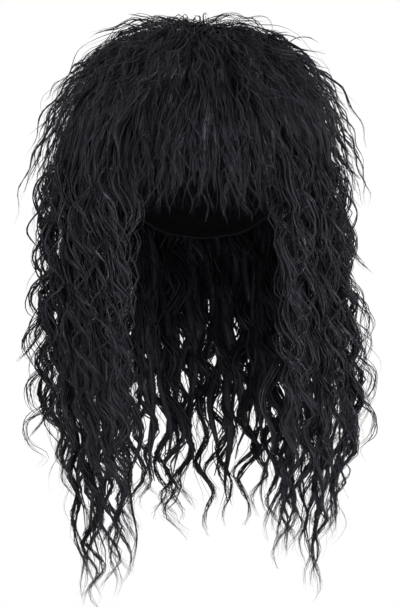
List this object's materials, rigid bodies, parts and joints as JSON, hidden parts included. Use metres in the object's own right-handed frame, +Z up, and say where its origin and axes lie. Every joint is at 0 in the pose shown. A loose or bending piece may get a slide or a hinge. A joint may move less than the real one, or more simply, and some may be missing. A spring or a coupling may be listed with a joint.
{
  "type": "long wavy shag wig",
  "caption": "Long dark wavy shag wig: a thin fitted cap, open below for the head, with layered crown hair, a choppy fringe, side curtains and a long back mane.",
  "frame": {"origin": "inside top of the cap, where the crown of the head meets it", "axes": "+Z up along the head, -Y towards the face, +X towards the wearer's left"},
  "size_m": [0.2849, 0.2757, 0.4981],
  "materials": {
    "hair": "glossy black synthetic fibre, crimped in waves",
    "cap_net": "matte black elastic net with sewn weft rows"
  },
  "bodies": {
    "root": {"cap": "cap_net", "crown_hair": "hair", "fringe": "hair", "left_side_hair": "hair", "right_side_hair": "hair", "back_hair": "hair"}
  },
  "joints": []
}
